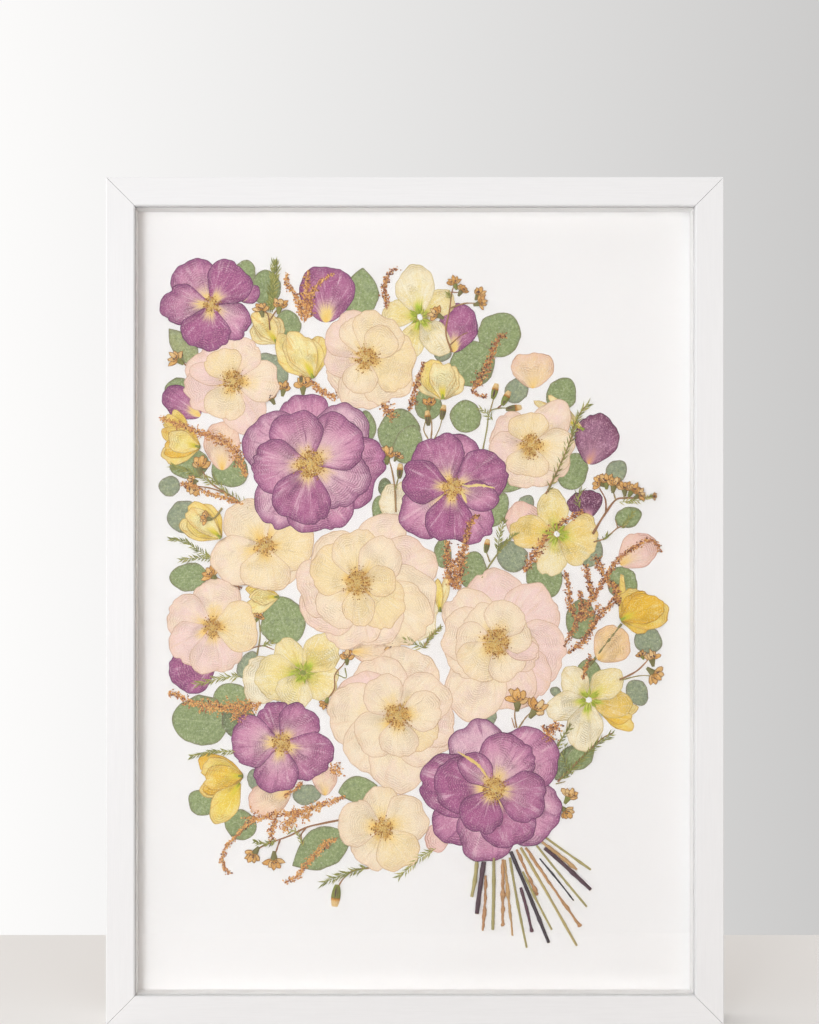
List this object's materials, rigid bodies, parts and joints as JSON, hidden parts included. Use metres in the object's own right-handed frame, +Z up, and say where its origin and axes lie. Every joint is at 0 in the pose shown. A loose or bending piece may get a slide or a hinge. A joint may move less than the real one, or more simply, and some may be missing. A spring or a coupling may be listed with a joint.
{
  "type": "pressed flower frame",
  "caption": "Deep white picture frame with pressed roses, hellebores, freesias, leaves and stems laid on a white card behind a clear pane.",
  "frame": {"origin": "middle of the underside of the bottom rail, half way through the overall depth", "axes": "+Z up along the tall sides, +X to the right seen from the front, the glazed front faces -Y"},
  "size_m": [0.452, 0.035, 0.62],
  "materials": {
    "white_paint": "satin white paint on wood",
    "clear_pane": "clear float glass",
    "white_foam_strip": "white foam board, matt",
    "white_card": "matt white mount card",
    "hardboard": "bare hardboard",
    "steel": "zinc plated steel",
    "felt": "pale felt",
    "purple_petal": "dried petal, mauve with darker rims",
    "plum_petal": "dried petal, dark plum",
    "cream_petal": "dried petal, cream to blush",
    "pale_yellow_petal": "dried petal, pale yellow",
    "yellow_petal": "dried petal, golden yellow",
    "peach_petal": "dried petal, peach with deeper tip",
    "pressed_leaf": "dried leaf, grey-green",
    "dried_stem_olive": "dried stem, olive brown",
    "dried_stem_dark": "dried stem, dark plum",
    "dried_floret": "dried florets, orange brown"
  },
  "bodies": {
    "root": {"rail_bottom": "white_paint", "rail_top": "white_paint", "rail_left": "white_paint", "rail_right": "white_paint", "glazing": "clear_pane", "spacer_top": "white_foam_strip", "spacer_bottom": "white_foam_strip", "spacer_left": "white_foam_strip", "spacer_right": "white_foam_strip", "mount_card": "white_card", "backing_board": "hardboard", "point_left_upper": "steel", "point_left_lower": "steel", "point_right_upper": "steel", "point_right_lower": "steel", "point_top": "steel", "point_bottom": "steel", "hanger_left": "steel", "hanger_right": "steel", "bumper_left": "felt", "bumper_right": "felt", "leaf_large_left": "pressed_leaf", "leaf_pointed_low": "pressed_leaf", "leaf_round_left": "pressed_leaf", "leaf_top": "pressed_leaf", "leaf_upper_right": "pressed_leaf", "leaf_right": "pressed_leaf", "stem_dark_short": "dried_stem_dark", "stem_olive_straight": "dried_stem_olive", "stem_black_long": "dried_stem_dark", "stem_olive_long": "dried_stem_olive", "stem_plum_right": "dried_stem_dark", "spray_left": "dried_floret", "spray_low": "dried_floret", "spray_right": "dried_floret", "petal_purple_top": "purple_petal", "petal_plum_right": "plum_petal", "hellebore_top": "pale_yellow_petal", "hellebore_right": "pale_yellow_petal", "hellebore_low_right": "pale_yellow_petal", "hellebore_low_left": "pale_yellow_petal", "freesia_upper_left": "yellow_petal", "freesia_upper_middle": "yellow_petal", "freesia_left": "yellow_petal", "freesia_right": "yellow_petal", "freesia_low_left": "yellow_petal", "rose_cream_top": "cream_petal", "rose_cream_left": "cream_petal", "rose_cream_right": "cream_petal", "rose_cream_mid_left": "cream_petal", "rose_blush_left": "cream_petal", "rose_cream_centre": "cream_petal", "rose_cream_lower_right": "cream_petal", "rose_cream_low": "cream_petal", "rose_cream_bottom": "cream_petal", "rose_purple_corner": "purple_petal", "rose_purple_large": "purple_petal", "rose_purple_middle": "purple_petal", "rose_purple_low": "purple_petal", "rose_purple_small": "purple_petal"}
  },
  "joints": []
}
